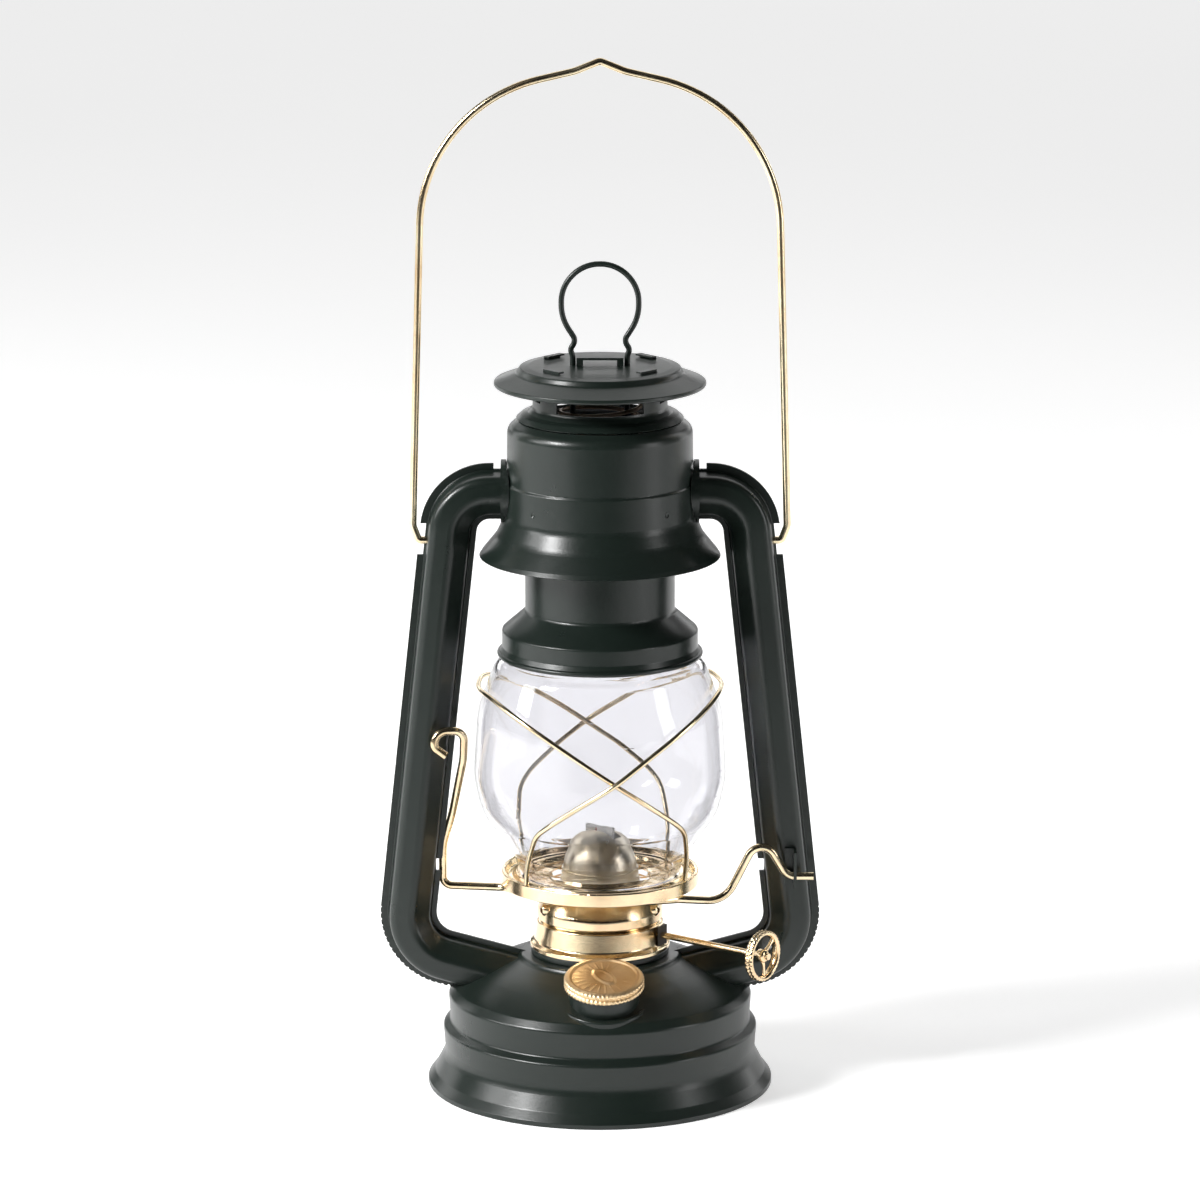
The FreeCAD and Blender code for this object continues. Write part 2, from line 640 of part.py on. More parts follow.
def make_burner_cone():
    top_centre = 77.2
    wall_radius = 13.4
    outer = turned([(0, 71.75, 0), (15.4, 71.75, 0), (15.4, 72.3, 0.2), (wall_radius, 72.9, 0.6),
                    (wall_radius, top_centre, 0), (0, top_centre, 0)])
    outer = outer.fuse(Part.makeSphere(wall_radius - 0.7, vec(0, 0, top_centre + 0.2)).cut(
        box((-20, -20, 50), (20, 20, top_centre))))
    inner = cylinder(wall_radius - SHEET - 0.7, top_centre - 70, vec(0, 0, 70.2), Z_AXIS)
    inner = inner.fuse(Part.makeSphere(wall_radius - SHEET - 0.7, vec(0, 0, top_centre)))
    half_slot = WICK_WIDTH / 2 + 1.6
    slot = along_wick(box((-half_slot, -2.3, 84), (half_slot, 2.3, 95)))
    return outer.cut(inner).cut(slot)


def make_shaft_bearing():
    """Dark packing plate where the wick shaft leaves the burner."""
    start = 21.0
    plate = box((start, WICK_SHAFT_OFFSET - 2.6, WICK_SHAFT_Z - 3.4),
                (start + 2.0, WICK_SHAFT_OFFSET + 2.6, WICK_SHAFT_Z + 3.4))
    plate = plate.cut(ring(0, 23.0, 40, 70))
    bore = cylinder(WICK_SHAFT + RUNNING_GAP, 12, vec(start - 4, WICK_SHAFT_OFFSET, WICK_SHAFT_Z), X_AXIS)
    return along_wick(plate.cut(bore))


def make_wick_shaft():
    start = -9.0
    length = KNOB_DISTANCE + 2.6 - start
    return along_wick(cylinder(WICK_SHAFT, length, vec(start, WICK_SHAFT_OFFSET, WICK_SHAFT_Z), X_AXIS))


def make_wick_sprockets():
    """Two toothed wheels on the shaft that move the wick."""
    teeth = 10
    wheels = []
    for place in (-3.4, 2.4):
        centre = vec(place, WICK_SHAFT_OFFSET, WICK_SHAFT_Z)
        wheel = cylinder(SPROCKET_RADIUS - 0.8, 1.0, centre, X_AXIS)
        for tooth in range(teeth):
            spike = box((place, -0.4, 0), (place + 1.0, 0.4, SPROCKET_RADIUS))
            spike.rotate(ORIGIN, X_AXIS, 360 / teeth * tooth)
            spike.translate(vec(0, WICK_SHAFT_OFFSET, WICK_SHAFT_Z))
            wheel = wheel.fuse(spike)
        bore = cylinder(WICK_SHAFT + 0.005, 4, vec(place - 1, WICK_SHAFT_OFFSET, WICK_SHAFT_Z), X_AXIS)
        wheels.append(along_wick(wheel.cut(bore)))
    return Part.makeCompound(wheels)


def make_wick_knob():
    """Pierced hand wheel: rim, hub and spokes."""
    thickness = 3.0
    rim_width = 1.5
    rim = Part.makeCylinder(KNOB_RADIUS, thickness).cut(
        Part.makeCylinder(KNOB_RADIUS - rim_width, thickness * 3, vec(0, 0, -thickness)))
    hub = Part.makeCylinder(2.3, thickness)
    for index in range(KNOB_SPOKES):
        spoke = box((0, -0.9, 0.9), (KNOB_RADIUS - 0.5, 0.9, 2.1))
        spoke.rotate(ORIGIN, Z_AXIS, 90 + 360 / KNOB_SPOKES * index)
        hub = hub.fuse(spoke)
    knob = rim.fuse(hub).cut(Part.makeCylinder(WICK_SHAFT + 0.005, thickness * 3, vec(0, 0, -thickness)))
    knob.rotate(ORIGIN, Y_AXIS, 90)
    knob.translate(vec(KNOB_DISTANCE - thickness / 2, WICK_SHAFT_OFFSET, WICK_SHAFT_Z))
    return along_wick(knob)


# ---------------------------------------------------------------- all nodes
def build():
    left_front = make_tube_half()
    left_rear = left_front.mirror(ORIGIN, Y_AXIS)
    left_collar = make_tube_collar()
    return {
        "tank_shell": make_tank_shell(),
        "tank_bottom": make_tank_bottom(),
        "filler_neck": make_filler_neck(),
        "filler_shoulder": make_filler_shoulder(),
        "burner_collar": make_burner_collar(),
        "left_tube_front": left_front,
        "left_tube_rear": left_rear,
        "right_tube_front": mirror_x(left_front),
        "right_tube_rear": mirror_x(left_rear),
        "left_tube_collar": left_collar,
        "right_tube_collar": mirror_x(left_collar),
        "canopy": make_canopy(),
        "vent_collar": make_vent_collar(),
        "hood": make_hood(),
        "ring_bridge": make_ring_bridge(),
        "return_spring": make_return_spring(),
        "lift_wire_ear": make_lift_wire_ear(),
        "burner_base": make_burner_base(),
        "burner_gallery": make_burner_gallery(),
        "air_deck": make_air_deck(),
        "burner_cone": make_burner_cone(),
        "wick_tube": make_wick_tube(),
        "shaft_bearing": make_shaft_bearing(),
        "bail": make_bail(),
        "globe_plate": make_globe_plate(),
        "globe": make_globe(),
        "guard_wire_left": make_guard_wire(*GUARD_BOWS[0]),
        "guard_wire_right": make_guard_wire(*GUARD_BOWS[1]),
        "lift_wire": make_lift_wire(),
        "chimney": make_chimney(),
        "ring_crossbar": make_ring_crossbar(),
        "lift_ring": make_lift_ring(),
        "wick_shaft": make_wick_shaft(),
        "wick_sprockets": make_wick_sprockets(),
        "wick_knob": make_wick_knob(),
        "wick": make_wick(),
        "fuel_cap": make_fuel_cap(),
        "cap_gasket": make_cap_gasket(),
    }


os.makedirs("parts", exist_ok=True)
for name, shape in build().items():
    solids = shape.Solids
    whole = solids[0] if len(solids) == 1 else Part.makeCompound(solids)
    state = "valid" if whole.isValid() and whole.Volume > 0 else "INVALID"
    size = whole.BoundBox
    print(f"{name:20s} solids {len(solids)} volume {whole.Volume:10.1f} {state}"
          f"  x {size.XMin:.1f}..{size.XMax:.1f}"
          f"  y {size.YMin:.1f}..{size.YMax:.1f}  z {size.ZMin:.1f}..{size.ZMax:.1f}")
    whole.exportStep(f"parts/{name}.step")
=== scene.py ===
import json
import math

import bmesh
import bpy
from mathutils import Matrix, Vector


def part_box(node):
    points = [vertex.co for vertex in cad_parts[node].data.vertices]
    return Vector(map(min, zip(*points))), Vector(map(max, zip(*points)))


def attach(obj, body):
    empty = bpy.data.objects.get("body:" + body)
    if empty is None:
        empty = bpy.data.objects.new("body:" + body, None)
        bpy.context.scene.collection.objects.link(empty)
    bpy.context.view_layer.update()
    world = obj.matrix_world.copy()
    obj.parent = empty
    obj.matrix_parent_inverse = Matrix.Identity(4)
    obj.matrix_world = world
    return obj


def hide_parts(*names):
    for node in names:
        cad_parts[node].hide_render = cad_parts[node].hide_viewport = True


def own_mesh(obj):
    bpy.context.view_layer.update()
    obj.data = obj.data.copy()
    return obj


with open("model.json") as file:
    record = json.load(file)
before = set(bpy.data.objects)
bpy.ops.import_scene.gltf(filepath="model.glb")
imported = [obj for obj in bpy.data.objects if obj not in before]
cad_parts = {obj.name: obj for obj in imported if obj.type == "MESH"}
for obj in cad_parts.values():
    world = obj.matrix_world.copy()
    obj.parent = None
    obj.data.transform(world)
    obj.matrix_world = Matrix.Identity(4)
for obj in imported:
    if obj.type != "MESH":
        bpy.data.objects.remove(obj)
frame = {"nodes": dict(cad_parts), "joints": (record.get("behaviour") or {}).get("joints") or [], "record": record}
NODES = frame["nodes"]
JOINTS = {joint["name"]: joint for joint in frame["joints"]}
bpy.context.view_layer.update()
MM = 0.001

# Camera: it stands this far in front of the lantern's axis and looks slightly down.
CAMERA_DISTANCE = 2.098
CAMERA_HEIGHT = 0.6562
CAMERA_PITCH = math.radians(13.0)
CAMERA_LENS = 187.5
SENSOR_WIDTH = 36.0


# ---------------------------------------------------------------- node helpers
def new_material(name):
    material = bpy.data.materials.new(name)
    material.use_nodes = True
    tree = material.node_tree
    shader = tree.nodes["Principled BSDF"]
    return material, tree, shader


def add_node(tree, kind, **inputs):
    node = tree.nodes.new(kind)
    for key, value in inputs.items():
        node.inputs[key.replace("_", " ")].default_value = value
    return node


def object_space(tree):
    return tree.nodes.new("ShaderNodeTexCoord").outputs["Object"]


def noise(tree, scale, detail=3.0, roughness=0.5, stretch=None):
    """Noise in the lantern's own space; stretch scales the three directions."""
    node = add_node(tree, "ShaderNodeTexNoise", Scale=scale, Detail=detail, Roughness=roughness)
    space = object_space(tree)
    if stretch:
        mapping = tree.nodes.new("ShaderNodeMapping")
        mapping.inputs["Scale"].default_value = stretch
        tree.links.new(space, mapping.inputs["Vector"])
        space = mapping.outputs["Vector"]
    tree.links.new(space, node.inputs["Vector"])
    return node.outputs["Fac"]


def ramp(tree, source, low, high, start, end):
    """Maps source from start..end onto low..high."""
    node = tree.nodes.new("ShaderNodeMapRange")
    node.inputs["From Min"].default_value = start
    node.inputs["From Max"].default_value = end
    node.inputs["To Min"].default_value = low
    node.inputs["To Max"].default_value = high
    tree.links.new(source, node.inputs["Value"])
    return node.outputs["Result"]


def math_node(tree, operation, *sources):
    """A Math node fed by sockets or plain numbers."""
    node = tree.nodes.new("ShaderNodeMath")
    node.operation = operation
    for socket, source in zip(node.inputs, sources):
        if isinstance(source, bpy.types.NodeSocket):
            tree.links.new(source, socket)
        else:
            socket.default_value = source
    return node.outputs[0]


def position_parts(tree, space):
    """The X, Y and Z sockets of a position."""
    split = tree.nodes.new("ShaderNodeSeparateXYZ")
    tree.links.new(space, split.inputs["Vector"])
    return split.outputs["X"], split.outputs["Y"], split.outputs["Z"]


def mix_colour(tree, factor, first, second):
    node = tree.nodes.new("ShaderNodeMix")
    node.data_type = "RGBA"
    tree.links.new(factor, node.inputs["Factor"])
    for socket, value in ((node.inputs[6], first), (node.inputs[7], second)):
        if isinstance(value, bpy.types.NodeSocket):
            tree.links.new(value, socket)
        else:
            socket.default_value = (*value, 1.0)
    return node.outputs[2]


def bump(tree, shader, height, strength, distance):
    node = add_node(tree, "ShaderNodeBump", Strength=strength, Distance=distance)
    tree.links.new(height, node.inputs["Height"])
    before = shader.inputs["Normal"]
    if before.is_linked:
        tree.links.new(before.links[0].from_socket, node.inputs["Normal"])
    tree.links.new(node.outputs["Normal"], before)


# ---------------------------------------------------------------- materials
def paint_material():
    """Satin charcoal enamel on tinplate: faint orange peel, handling marks and worn edges."""
    material, tree, shader = new_material("charcoal_enamel")
    cloud = noise(tree, 28.0, 4.0)
    base = mix_colour(tree, cloud, (0.0085, 0.0145, 0.0115), (0.0125, 0.0195, 0.0160))
    edge = tree.nodes.new("ShaderNodeNewGeometry").outputs["Pointiness"]
    worn = ramp(tree, edge, 0.0, 0.5, 0.56, 0.66)
    speck = ramp(tree, noise(tree, 420.0, 5.0, 0.7), 0.0, 1.0, 0.45, 0.62)
    wear = math_node(tree, "MULTIPLY", worn, speck)
    tree.links.new(mix_colour(tree, wear, base, (0.045, 0.052, 0.048)), shader.inputs["Base Color"])
    smear = noise(tree, 60.0, 5.0, 0.6, (1, 1, 0.35))
    tree.links.new(ramp(tree, smear, 0.27, 0.35, 0.3, 0.7), shader.inputs["Roughness"])
    shader.inputs["Specular IOR Level"].default_value = 0.5
    bump(tree, shader, noise(tree, 1300.0, 2.0), 0.10, 0.0002)
    bump(tree, shader, noise(tree, 45.0, 2.0), 0.12, 0.0006)
    return material


def brass_material(name, light, dark, rough, scratch):
    """Polished brass with tarnish clouds and fine drawing lines."""
    material, tree, shader = new_material(name)
    shader.inputs["Metallic"].default_value = 1.0
    cloud = ramp(tree, noise(tree, 55.0, 5.0, 0.62), 0.0, 1.0, 0.42, 0.70)
    tree.links.new(mix_colour(tree, cloud, light, dark), shader.inputs["Base Color"])
    smear = noise(tree, 130.0, 5.0, 0.6)
    tree.links.new(ramp(tree, smear, rough * 0.7, rough * 1.6, 0.3, 0.7), shader.inputs["Roughness"])
    bump(tree, shader, noise(tree, 900.0, 3.0, 0.6, scratch), 0.10, 0.0002)
    bump(tree, shader, noise(tree, 60.0, 2.0), 0.10, 0.0005)
    return material


def glass_material():
    """Clear pressed glass with slow waves in its surface and faintly varying roughness."""
    material, tree, shader = new_material("clear_glass")
    shader.inputs["Base Color"].default_value = (0.84, 0.837, 0.86, 1)
    shader.inputs["Transmission Weight"].default_value = 1.0
    shader.inputs["IOR"].default_value = 1.46
    tree.links.new(ramp(tree, noise(tree, 90.0), 0.0, 0.03, 0.5, 0.8), shader.inputs["Roughness"])
    bump(tree, shader, noise(tree, 22.0, 1.0, 0.4, (1, 1, 0.5)), 0.35, 0.0012)
    return material


def wick_material():
    """Woven cotton tape; its red marking thread is a piece of its own."""
    material, tree, shader = new_material("wick_cotton")
    weave = tree.nodes.new("ShaderNodeTexChecker")
    weave.inputs["Scale"].default_value = 1600.0
    tree.links.new(object_space(tree), weave.inputs["Vector"])
    cloth = mix_colour(tree, weave.outputs["Fac"], (0.95, 0.93, 0.89), (0.84, 0.81, 0.75))
    tree.links.new(cloth, shader.inputs["Base Color"])
    shader.inputs["Roughness"].default_value = 0.92
    shader.inputs["Sheen Weight"].default_value = 0.3
    bump(tree, shader, weave.outputs["Fac"], 0.6, 0.0003)
    return material


def plain_material(name, light, dark, metallic, rough, grain):
    material, tree, shader = new_material(name)
    tree.links.new(mix_colour(tree, noise(tree, grain, 5.0), light, dark), shader.inputs["Base Color"])
    shader.inputs["Metallic"].default_value = metallic
    smear = ramp(tree, noise(tree, grain * 2), rough * 0.8, rough * 1.2, 0.3, 0.7)
    tree.links.new(smear, shader.inputs["Roughness"])
    bump(tree, shader, noise(tree, grain * 4), 0.2, 0.0002)
    return material


def make_materials():
    """Materials by slot name. Colours run from light to dark within each noise cloud."""
    drawn_around, drawn_along, pressed = (1, 1, 9), (4, 4, 1), (5, 5, 5)
    return {
        "black_paint": paint_material(),
        "brass": brass_material(
            "polished_brass", (0.95, 0.79, 0.52), (0.82, 0.58, 0.35), 0.17, drawn_around),
        "brass_wire": brass_material(
            "drawn_brass_wire", (0.93, 0.80, 0.55), (0.74, 0.54, 0.32), 0.17, drawn_along),
        "clear_glass": glass_material(),
        "wick_cotton": wick_material(),
        "red_thread": plain_material(
            "red_thread", (0.62, 0.03, 0.03), (0.40, 0.02, 0.02), 0.0, 0.9, 900.0),
        "cap_brass": brass_material(
            "satin_cap_brass", (0.98, 0.75, 0.46), (0.92, 0.65, 0.36), 0.38, pressed),
        "pale_brass": brass_material(
            "pale_brass", (0.99, 0.92, 0.76), (0.93, 0.80, 0.58), 0.36, drawn_around),
        "spring_steel": plain_material(
            "browned_spring_steel", (0.42, 0.30, 0.22), (0.20, 0.15, 0.12), 1.0, 0.35, 150.0),
        "gasket_rubber": plain_material(
            "gasket_rubber", (0.030, 0.030, 0.030), (0.055, 0.052, 0.05), 0.0, 0.7, 200.0),
        "dark_packing": plain_material(
            "dark_packing", (0.030, 0.026, 0.022), (0.07, 0.055, 0.04), 0.0, 0.6, 220.0),
    }


# ---------------------------------------------------------------- meshes
def mesh_object(name, vertices, faces, material):
    mesh = bpy.data.meshes.new(name)
    mesh.from_pydata(vertices, [], faces)
    mesh.update()
    piece = bpy.data.objects.new(name, mesh)
    bpy.context.collection.objects.link(piece)
    mesh.materials.append(material)
    work = bmesh.new()
    work.from_mesh(mesh)
    bmesh.ops.remove_doubles(work, verts=work.verts, dist=1e-7)
    bmesh.ops.recalc_face_normals(work, faces=work.faces)
    work.to_mesh(mesh)
    work.free()
    for polygon in mesh.polygons:
        polygon.use_smooth = True
    return piece


def ring_faces(rows, around, base=0):
    """Faces that join rows of around points each, the first of them at index base."""
    faces = []
    for row in range(rows - 1):
        for step in range(around):
            following = (step + 1) % around
            first, second = base + row * around, base + (row + 1) * around
            faces.append((first + step, first + following, second + following, second + step))
    return faces


def end_caps(rows, around, base=0):
    """One face over the first row of points and one over the last."""
    last = base + (rows - 1) * around
    return [tuple(base + step for step in range(around)), tuple(last + step for step in range(around))]


def clamp(value):
    return max(0.0, min(1.0, value))


def lathe(profile, steps, shape=None):
    """Closed grid of revolution about Z: profile of (radius, height), shape may move each point."""
    vertices = []
    for radius, height in profile:
        for step in range(steps):
            angle = 2 * math.pi * step / steps
            r, h = shape(radius, height, angle) if shape else (radius, height)
            vertices.append((r * math.cos(angle), r * math.sin(angle), h))
    return vertices, ring_faces(len(profile), steps)


def joint_frame(name):
    """Matrix whose origin is the joint's point and whose Z is its axis."""
    axis = Vector(JOINTS[name]["axis"]).normalized()
    turn = Vector((0, 0, 1)).rotation_difference(axis).to_matrix().to_4x4()
    return Matrix.Translation(JOINTS[name]["pos_m"]) @ turn


def arc_profile(centre_r, centre_h, radius, start, end, count=6):
    points = []
    for index in range(count + 1):
        angle = math.radians(start + (end - start) * index / count)
        points.append((centre_r + radius * math.cos(angle), centre_h + radius * math.sin(angle)))
    return points


# ---------------------------------------------------------------- fuel cap
def make_fuel_cap(material):
    """Screw cap with two rope-knurled beads, a raised border, faint rays and a plain oval boss."""
    place = joint_frame("cap_turn")
    corners = [place.inverted() @ vertex.co for vertex in NODES["fuel_cap"].data.vertices]
    outer = max(math.hypot(corner.x, corner.y) for corner in corners)
    top = max(corner.z for corner in corners)
    bottom = min(corner.z for corner in corners)
    bore = min(math.hypot(c.x, c.y) for c in corners if c.z < bottom + 0.2 * MM)
    bead = 0.85 * MM
    ropes, rope_depth = 56, 0.17 * MM
    low_bead, high_bead = bottom + bead, top - bead - 0.35 * MM
    plate_edge, plate_height = outer - 2.6 * MM, top - 0.5 * MM
    profile = [(bore, top - 1.6 * MM), (bore, bottom + 0.3 * MM), (bore + 0.3 * MM, bottom)]
    profile += arc_profile(outer - bead, low_bead, bead, -80, 80)
    profile += arc_profile(outer - bead, high_bead, bead, -80, 80)
    profile += [(outer - 1.5 * MM, top - 0.1 * MM), (outer - 1.9 * MM, top),
                (outer - 2.3 * MM, top - 0.1 * MM), (plate_edge, plate_height)]
    rings = 26
    profile += [(plate_edge * (1 - step / rings), plate_height) for step in range(1, rings)]
    profile += [(1e-6, plate_height)]
    rays, crown, ray_height = 24, 0.25 * MM, 0.10 * MM
    boss_turn, boss_length, boss_width = math.radians(-58), 6.4 * MM, 3.1 * MM
    boss_height, boss_dish = 0.42 * MM, 0.22 * MM

    def shape(radius, height, angle):
        edge = outer - radius
        if edge < 1.0 * MM:
            lean = 0.9 if height > (low_bead + high_bead) / 2 else -0.9
            wave = math.sin(ropes * angle + lean * (height - low_bead) / MM)
            radius -= rope_depth * (1 - wave)
        if radius < plate_edge:
            share = radius / plate_edge
            height += crown * (1 - share * share)
            ray = max(0.0, math.sin(rays * angle)) ** 2
            height += ray_height * ray * clamp((share - 0.45) * 5) * clamp((0.98 - share) * 20)
            turned = angle - boss_turn
            across = math.hypot(radius * math.cos(turned) / boss_length,
                                radius * math.sin(turned) / boss_width)
            height += boss_height * clamp((1.0 - across) * 5)
            height -= boss_dish * clamp((0.72 - across) * 7)
        return radius, height

    vertices, faces = lathe(profile, ropes * 6, shape)
    cap = mesh_object("fuel_cap_knurled", vertices, faces, material)
    cap.data.transform(place)
    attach(cap, "fuel_cap")
    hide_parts("fuel_cap")


# ---------------------------------------------------------------- wick knob
def make_wick_knob(material):
    """Hand wheel with a notched rim, a hub and three spokes."""
    place = joint_frame("wick_turn")
    corners = [place.inverted() @ vertex.co for vertex in NODES["wick_knob"].data.vertices]
    outer = max(math.hypot(corner.x, corner.y) for corner in corners)
    low = min(corner.z for corner in corners)
    high = max(corner.z for corner in corners)
    middle, half = (low + high) / 2, (high - low) / 2
    rim, notches, notch_depth = 1.6 * MM, 34, 0.30 * MM

    def shape(radius, height, angle):
        if radius > outer - 0.75 * MM:
            wave = math.sin(notches * angle + (2.2 if height > middle else 0.0))
            radius -= notch_depth * max(0.0, wave)
        return radius, height

    # Rim section: depth inside the outer radius in rims, height in halves of the thickness.
    section = [(1, -0.6), (0.7, -1), (0.2, -1), (0, -0.7), (0, -0.25), (0.25, 0), (0, 0.25),
               (0, 0.7), (0.2, 1), (0.7, 1), (1, 0.6), (1, -0.6)]
    section = [(outer - depth * rim, middle + level * half) for depth, level in section]
    vertices, faces = lathe(section, notches * 6, shape)
    hub = [(1e-6, -1), (1.9 * MM, -1), (2.3 * MM, -0.8), (2.3 * MM, 0.6), (1.7 * MM, 1), (1e-6, 1)]
    hub = [(radius, middle + level * half) for radius, level in hub]
    hub_vertices, hub_faces = lathe(hub, 32)
    base = len(vertices)
    vertices += hub_vertices
    faces += [tuple(index + base for index in face) for face in hub_faces]
    stations, around = 9, 12
    spoke_start, spoke_end, spoke_depth = 1.6 * MM, outer - rim * 0.6, 0.62 * MM
    for spoke in range(3):
        direction = math.radians(90 + 120 * spoke)
        base = len(vertices)
        for station in range(stations):
            share = station / (stations - 1)
            reach = spoke_start + share * (spoke_end - spoke_start)
            width = (1.25 - 0.75 * math.sin(math.pi * share)) * MM
            for step in range(around):
                angle = 2 * math.pi * step / around
                u, v = width * math.cos(angle), spoke_depth * math.sin(angle)
                x = reach * math.cos(direction) - u * math.sin(direction)
                y = reach * math.sin(direction) + u * math.cos(direction)
                vertices.append((x, y, middle + v))
        faces += ring_faces(stations, around, base) + end_caps(stations, around, base)
    knob = mesh_object("wick_knob_notched", vertices, faces, material)
    knob.data.transform(place)
    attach(knob, "wick_spindle")
    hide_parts("wick_knob")


# ---------------------------------------------------------------- return spring
def coil_tube(radius, wire, start, end, turns_before, turns):
    """Round wire wound about Z from height start to end, turning on from turns_before."""
    per_turn, around = 48, 10
    steps = turns * per_turn
    vertices = []
    for step in range(steps + 1):
        angle = 2 * math.pi * (turns_before + step / per_turn)
        height = start + (end - start) * step / steps
        for side in range(around):
            tilt = 2 * math.pi * side / around
            reach = radius + wire * math.cos(tilt)
            vertices.append((reach * math.cos(angle), reach * math.sin(angle),
                             height + wire * math.sin(tilt)))
    return vertices, ring_faces(steps + 1, around) + end_caps(steps + 1, around)


def make_return_spring(material):
    """Open coil between the ring's crossbar and the hood, in two pieces: the lower turns ride with the globe
    carriage and the upper turns stay with the lantern frame."""
    low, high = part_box("return_spring")
    wire = 0.78 * MM
    coil = (high[1] - low[1]) / 2 - wire - 0.1 * MM
    foot, head = low[2] + wire, high[2] - wire
    lower_turns, upper_turns = 5, 2
    middle = foot + (head - foot) * lower_turns / (lower_turns + upper_turns)
    # Name, body, joint, ends of the wire's middle line, end that stays put, end that moves,
    # turns before, turns.
    parts = (
        ("return_spring_coil", "globe_carriage", "chimney_lift",
         foot, middle, middle, low[2], 0, lower_turns),
        ("return_spring_top", "lantern_frame", "globe_lift",
         middle, head, high[2], middle, lower_turns, upper_turns),
    )
    for name, body, joint, start, end, anchor, moving, before, turns in parts:
        vertices, faces = coil_tube(coil, wire, start, end, before, turns)
        spring = mesh_object(name, vertices, faces, material)
        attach(spring, body)
        if joint == "chimney_lift":
            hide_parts("return_spring")
        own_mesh(spring)


# ---------------------------------------------------------------- wick
def make_wick(material, red):
    """Flat woven wick with a soft frayed top and a red marking thread."""
    along = Vector(JOINTS["wick_turn"]["axis"]).normalized()
    across = Vector((-along.y, along.x, 0))
    corners = [vertex.co for vertex in NODES["wick"].data.vertices]
    half_width = max(corner.dot(along) for corner in corners)
    half_depth = max(corner.dot(across) for corner in corners)
    low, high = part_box("wick")[0][2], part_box("wick")[1][2]
    columns, rows, around = 24, 90, 60
    vertices = []
    for row in range(rows + 1):
        height = low + (high - low) * row / rows
        for step in range(around):
            angle = 2 * math.pi * step / around
            u = math.copysign(abs(math.cos(angle)) ** 0.35, math.cos(angle)) * half_width
            v = math.copysign(abs(math.sin(angle)) ** 0.6, math.sin(angle)) * half_depth
            yarn = 0.93 + 0.07 * math.cos(columns * math.pi * u / half_width) * math.cos(math.pi * row)
            fray = abs(math.sin(37.0 * u / half_width + 5.0 * v / half_depth))
            top = 0.5 * MM * fray if row == rows else 0.0
            vertices.append(tuple(along * u + across * v * yarn + Vector((0, 0, height - top))))
    faces = ring_faces(rows + 1, around)
    faces.append(tuple(range(around)))
    crown = len(vertices)
    vertices.append((0, 0, high - 0.2 * MM))
    for step in range(around):
        faces.append((rows * around + step, rows * around + (step + 1) % around, crown))
    wick = mesh_object("wick_woven", vertices, faces, material)
    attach(wick, "wick")
    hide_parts("wick")
    # Loose fibres: place along and across the wick as shares of its halves, and extra length.
    fibres = [(-0.85, 0.7, 0.5), (-0.55, -0.5, 0.3), (-0.2, 0.4, 0.6),
              (0.1, -0.6, 0.35), (0.45, 0.5, 0.6), (0.8, -0.3, 0.4)]
    for number, (u, v, rise) in enumerate(fibres):
        root = along * u * half_width * 0.9 + across * v * half_depth * 0.8
        start = root + Vector((0, 0, high - 1.6 * MM))
        lean = across * v * 0.5 * MM + along * u * 0.4 * MM
        tip = start + lean + Vector((0, 0, 1.2 * MM + rise * 0.4 * MM))
        middle = (start + tip) / 2 + across * 0.15 * MM
        add_thread(f"wick_fibre_{number}", (start, middle, tip), 0.16 * MM, material)
    seam = along * -0.15 * half_width - across * (half_depth * 0.96)
    points = [seam + Vector((0, 0, low + (high - low) * share)) for share in (0.55, 0.7, 0.85, 0.99)]
    add_thread("wick_red_thread", points, 0.28 * MM, red)


def add_thread(name, points, radius, material):
    """A thin round curve along points, which rides with the wick."""
    curve = bpy.data.curves.new(name, "CURVE")
    curve.dimensions = "3D"
    curve.bevel_depth = radius
    curve.bevel_resolution = 3
    curve.use_fill_caps = True
    spline = curve.splines.new("NURBS")
    spline.points.add(len(points) - 1)
    for point, place in zip(spline.points, points):
        point.co = (*place, 1)
    spline.order_u = 3
    spline.use_endpoint_u = True
    thread = bpy.data.objects.new(name, curve)
    bpy.context.collection.objects.link(thread)
    curve.materials.append(material)
    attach(thread, "wick")


def paint_nodes(materials):
    slot_of = {part["node"]: part["material_slot"] for part in frame["record"]["subparts"]}
    for name, node in NODES.items():
        node.data.materials.clear()
        node.data.materials.append(materials["pale_brass" if name == "burner_cone" else slot_of[name]])


# ---------------------------------------------------------------- stage
def make_stage():
    """Pale, slightly glowing floor with painted shade: its colour and its glow darken in a bow in front of the
    lantern.
    """
    half = 6.0
    dark_from, pale_from, bow = -0.58, -0.22, 0.9
    corners = [(-half, -half, 0), (half, -half, 0), (half, half, 0), (-half, half, 0)]
    floor = bpy.data.objects.new("floor", bpy.data.meshes.new("floor"))
    floor.data.from_pydata(corners, [], [(0, 1, 2, 3)])
    bpy.context.collection.objects.link(floor)
    material, tree, shader = new_material("pale_floor")
    pale = mix_colour(tree, noise(tree, 2.0), (0.93, 0.93, 0.93), (0.95, 0.95, 0.95))
    across, depth, _ = position_parts(tree, object_space(tree))
    # Painted shade: a dark bow on the floor in front of the lantern, in both the floor's colour and its glow.
    forward = math_node(tree, "MULTIPLY_ADD", math_node(tree, "ABSOLUTE", across), bow, depth)
    shade = ramp(tree, forward, 0.0, 1.0, dark_from, pale_from)
    surface = mix_colour(tree, shade, (0.22, 0.23, 0.23), pale)
    tree.links.new(surface, shader.inputs["Base Color"])
    glow = mix_colour(tree, shade, (0.0, 0.0, 0.0), pale)
    tree.links.new(glow, shader.inputs["Emission Color"])
    shader.inputs["Emission Strength"].default_value = 0.50
    shader.inputs["Roughness"].default_value = 0.8
    floor.data.materials.append(material)


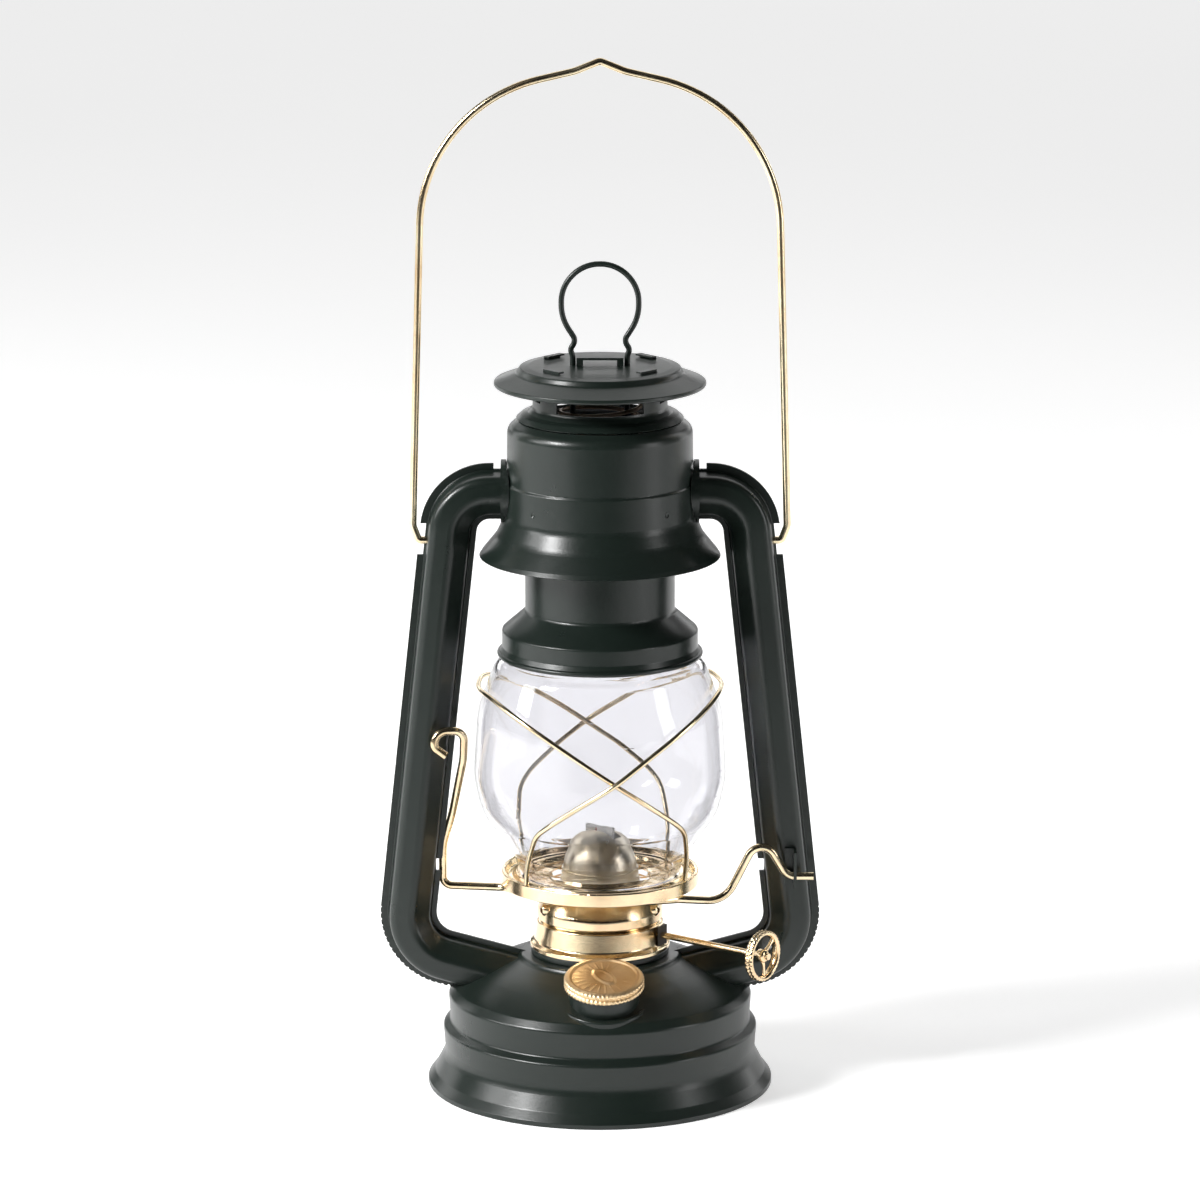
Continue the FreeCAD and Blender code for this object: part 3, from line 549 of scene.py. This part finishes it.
def add_light(name, place, target, size, power):
    """Area light at place, facing target; size is its two sides in metres, power is in watts."""
    light = bpy.data.lights.new(name, "AREA")
    light.shape = "RECTANGLE"
    light.size, light.size_y = size
    light.energy = power
    lamp = bpy.data.objects.new(name, light)
    lamp.location = place
    lamp.rotation_euler = (Vector(target) - Vector(place)).to_track_quat("-Z", "Y").to_euler()
    bpy.context.collection.objects.link(lamp)


def make_lights():
    centre = (0, 0, 0.15)
    add_light("key_left", (-1.20, -0.64, 1.06), centre, (0.42, 0.42), 27)
    add_light("side_left", (-1.60, -0.20, 0.72), centre, (0.45, 0.45), 6)
    add_light("fill_right", (1.5, -0.6, 0.5), centre, (0.4, 0.9), 5)
    add_light("back_strip", (0, 1.0, 0.34), (0, 0, 0.08), (1.2, 0.12), 1.2)
    add_light("rim_left", (-1.1, 0.9, 0.6), centre, (0.4, 1.1), 3)
    add_light("rim_right", (1.1, 0.9, 0.6), centre, (0.4, 1.1), 3)
    add_light("floor_wash", (0, 4.0, 3.6), (0, 1.3, 0), (5.5, 4.6), 82)


def make_world():
    """Studio surroundings: bright to the sides and above, darker in front and behind."""
    world = bpy.data.worlds.new("studio")
    world.use_nodes = True
    tree = world.node_tree
    direction = tree.nodes.new("ShaderNodeTexCoord").outputs["Generated"]
    across, _, up = position_parts(tree, direction)
    sides = ramp(tree, math_node(tree, "ABSOLUTE", across), 0.14, 0.42, 0.50, 0.95)
    overhead = ramp(tree, up, 0.12, 0.70, 0.30, 0.75)
    bright = math_node(tree, "MAXIMUM", sides, overhead)
    tree.links.new(bright, tree.nodes["Background"].inputs["Strength"])
    bpy.context.scene.world = world


def make_camera():
    data = bpy.data.cameras.new("camera")
    data.lens = CAMERA_LENS
    data.sensor_width = SENSOR_WIDTH
    camera = bpy.data.objects.new("camera", data)
    turn = Matrix.Rotation(math.pi / 2 - CAMERA_PITCH, 4, "X")
    camera.matrix_world = Matrix.Translation((0, -CAMERA_DISTANCE, CAMERA_HEIGHT)) @ turn
    bpy.context.collection.objects.link(camera)
    bpy.context.scene.camera = camera


def main():
    make_camera()
    make_stage()
    make_lights()
    make_world()
    materials = make_materials()
    paint_nodes(materials)
    make_fuel_cap(materials["cap_brass"])
    make_wick_knob(materials["brass"])
    make_return_spring(materials["spring_steel"])
    make_wick(materials["wick_cotton"], materials["red_thread"])
    bpy.context.scene.view_settings.view_transform = "Standard"


main()
